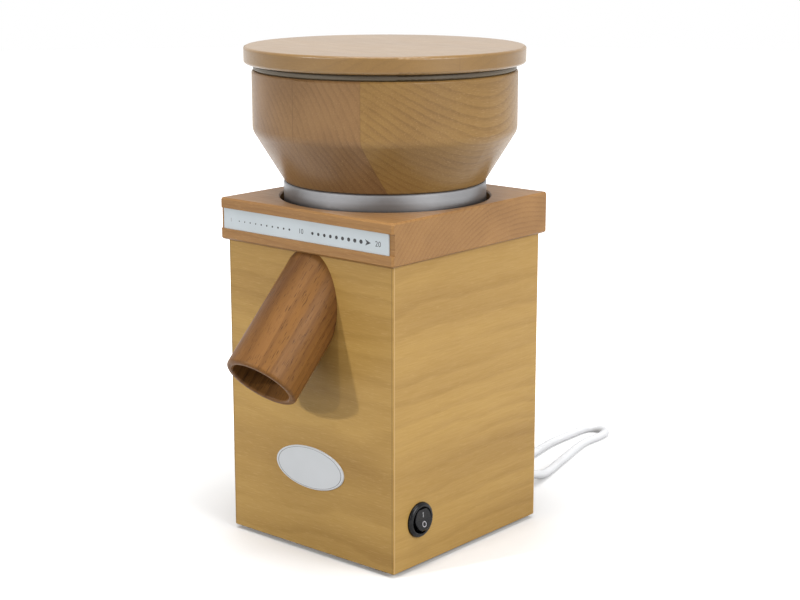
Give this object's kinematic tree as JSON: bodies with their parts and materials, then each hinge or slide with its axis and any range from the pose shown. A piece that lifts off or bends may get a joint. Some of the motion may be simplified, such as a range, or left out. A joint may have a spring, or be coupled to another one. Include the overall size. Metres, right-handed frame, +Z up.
{
  "type": "electric grain mill",
  "caption": "Household stone grain mill: mitred wooden housing, turning hopper bowl with lid, 45 degree spout, millstones, motor, rocker switch and mains cord.",
  "frame": {"origin": "on the table, under the axis of the hopper, stones and motor", "axes": "+Z up along the milling axis, -Y towards the spout, +X towards the switch"},
  "size_m": [0.1963, 0.4017, 0.3244],
  "materials": {
    "panel_wood": "oiled light wood, satin",
    "cap_wood": "oiled wood, satin",
    "bowl_wood": "turned brown wood, satin",
    "lid_wood": "turned light wood, satin",
    "spout_wood": "turned brown wood, satin",
    "dark_disc": "dark stained, matt",
    "collar_metal": "fine turned, satin",
    "cast_metal": "as cast, matt",
    "scale_metal": "pale grey, matt",
    "plate_face": "pale, satin",
    "stone": "rough bonded corundum",
    "steel": "ground or zinc plated",
    "core_steel": "laminated, oiled",
    "copper": "enamelled copper wire",
    "brass": "bare",
    "felt": "dense wool felt",
    "black_plastic": "smooth black",
    "dark_plastic": "moulded, matt",
    "white_plastic": "moulded, matt",
    "feet_rubber": "matt, cream",
    "cord_white": "smooth white flex"
  },
  "bodies": {
    "housing": {"front_panel": "panel_wood", "right_panel": "panel_wood", "left_panel": "panel_wood", "back_panel": "panel_wood", "cap_board": "cap_wood", "scale_strip": "scale_metal", "name_plate": "plate_face", "spout": "spout_wood", "base_plate": "panel_wood", "base_blocks": "panel_wood", "top_blocks": "panel_wood", "feet": "feet_rubber", "foot_screws": "steel", "base_screws": "steel", "cap_screws": "steel", "milling_chamber": "cast_metal", "chamber_screws": "steel", "felt_seal": "felt", "upper_end_shield": "cast_metal", "lower_end_shield": "cast_metal", "motor_bolts": "steel", "stator_stack": "core_steel", "windings": "copper", "upper_bearing": "steel", "lower_bearing": "steel", "capacitor": "white_plastic", "capacitor_clip": "steel", "terminal_block": "white_plastic", "inner_wires": "dark_plastic", "switch_body": "black_plastic", "switch_terminals": "brass", "strain_relief": "cord_white", "cord": "cord_white", "cord_coil": "cord_white", "cord_tie": "dark_plastic", "plug_body": "white_plastic", "plug_pins": "steel"},
    "pressure_pins": {"pressure_pins": "steel", "pin_springs": "steel"},
    "hopper": {"hopper_bowl": "bowl_wood", "collar_ring": "collar_metal", "stone_carrier": "cast_metal", "feed_cone": "white_plastic", "upper_stone": "stone", "collar_screws": "steel", "carrier_screws": "steel"},
    "lid": {"lid_disc": "lid_wood", "lid_plug": "dark_disc"},
    "rotor": {"shaft": "steel", "rotor_core": "core_steel", "cooling_fan": "dark_plastic", "stone_hub": "cast_metal", "lower_stone": "stone", "feed_nut": "cast_metal"},
    "rocker": {"switch_rocker": "black_plastic"}
  },
  "joints": [
    {"name": "hopper_lift", "type": "slide", "parent": "housing", "child": "pressure_pins", "axis": [0, 0, 1], "range_m": [-0.0004, 0.0013], "deforming": ["pin_springs"]},
    {"name": "hopper_turn", "type": "hinge", "parent": "pressure_pins", "child": "hopper", "pos_m": [0, 0, 0.2375], "axis": [0, 0, 1], "range_deg": [-40, 140]},
    {"name": "lid_lift", "type": "slide", "parent": "hopper", "child": "lid", "axis": [0, 0, 1], "range_m": [0, 0.1]},
    {"name": "rotor_spin", "type": "hinge", "parent": "housing", "child": "rotor", "pos_m": [0, 0, 0.1], "axis": [0, 0, 1], "continuous": true},
    {"name": "rocker_tilt", "type": "hinge", "parent": "housing", "child": "rocker", "pos_m": [0.06985, -0.049, 0.0328], "axis": [0, 1, 0], "range_deg": [0, 20]}
  ],
  "couplings": [
    {"joint": "hopper_lift", "follows": "hopper_turn", "m_per_rad": 0.00047746}
  ]
}
